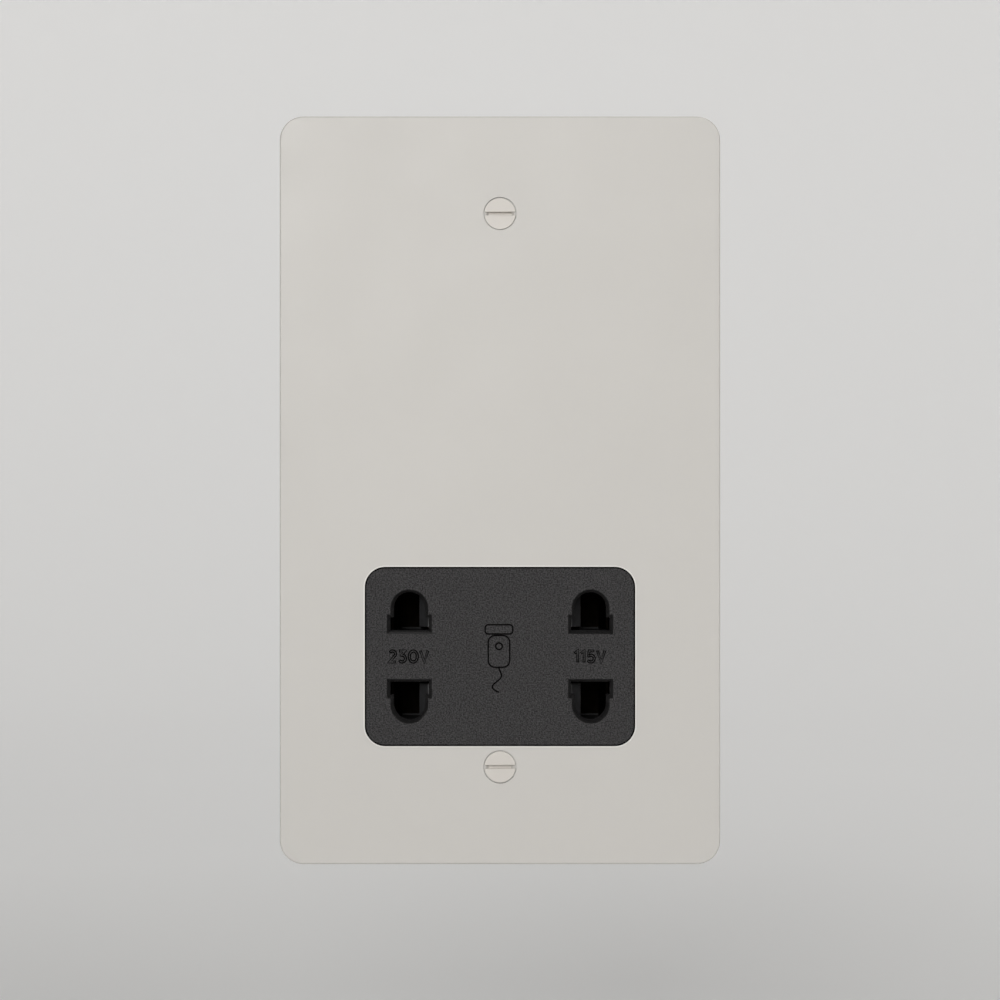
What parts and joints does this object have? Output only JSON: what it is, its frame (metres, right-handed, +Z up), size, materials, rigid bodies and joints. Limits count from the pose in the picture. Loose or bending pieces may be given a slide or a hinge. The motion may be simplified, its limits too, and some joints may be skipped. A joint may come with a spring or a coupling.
{
  "type": "shaver socket",
  "caption": "Flush wall socket for shavers: tall painted plate, black insert with paired pin apertures, sliding interlock and isolating transformer in a rear housing.",
  "frame": {"origin": "on the wall plane, midway between the two fixing screws", "axes": "+X to the right as seen from the front, +Y into the wall, +Z up"},
  "size_m": [0.086, 0.0464, 0.146],
  "materials": {
    "plate_paint": "satin powder coat",
    "screw_metal": "satin plated",
    "black_moulding": "fine spark-eroded texture",
    "shutter_grey": "smooth moulded",
    "gasket_foam": "closed-cell foam",
    "zinc_steel": "zinc plated",
    "tinned_copper": "tin plated",
    "housing_grey": "fine moulded texture",
    "carrier_moulding": "smooth moulded",
    "contact_bronze": "pressed sheet",
    "spring_steel": "bright sheet",
    "core_steel": "stacked sheets, varnished",
    "bobbin_nylon": "smooth moulded",
    "copper_wire": "enamelled wire",
    "winding_tape": "polyester tape",
    "cutout_case": "smooth",
    "block_nylon": "smooth moulded",
    "terminal_brass": "machined",
    "pad_rubber": "plain",
    "lead_brown": "smooth sheath",
    "lead_blue": "smooth sheath",
    "lead_grey": "smooth sheath",
    "lead_black": "smooth sheath",
    "lead_green_yellow": "striped sheath"
  },
  "bodies": {
    "socket": {"faceplate": "plate_paint", "wall_gasket": "gasket_foam", "fixing_screws": "screw_metal", "socket_front": "black_moulding", "plate_studs": "zinc_steel", "stud_nuts": "zinc_steel", "earth_tag": "tinned_copper", "rear_housing": "housing_grey", "housing_screws": "zinc_steel", "contact_carrier": "carrier_moulding", "contact_retainer": "carrier_moulding", "carrier_screws": "zinc_steel", "contact_230v": "contact_bronze", "contact_115v": "contact_bronze", "contact_common": "contact_bronze", "centring_spring": "spring_steel", "switch_fork": "contact_bronze", "switch_contacts": "contact_bronze", "core_e_stack": "core_steel", "core_i_stack": "core_steel", "core_clamp": "zinc_steel", "core_pads": "pad_rubber", "bobbin": "bobbin_nylon", "primary_winding": "winding_tape", "secondary_winding": "copper_wire", "coil_tags": "tinned_copper", "thermal_cutout": "cutout_case", "terminal_block": "block_nylon", "terminal_clamps": "terminal_brass", "terminal_screws": "zinc_steel", "lead_live": "lead_brown", "lead_switched": "lead_brown", "lead_neutral": "lead_blue", "lead_230v": "lead_grey", "lead_115v": "lead_grey", "lead_common": "lead_black", "lead_earth": "lead_green_yellow"},
    "shutter": {"interlock_shutter": "shutter_grey"}
  },
  "joints": [
    {"name": "shutter_slide", "type": "slide", "parent": "socket", "child": "shutter", "axis": [1, 0, 0], "range_m": [-0.002, 0.002], "stiffness_N_per_m": 300, "deforming": ["centring_spring", "switch_fork"]}
  ]
}
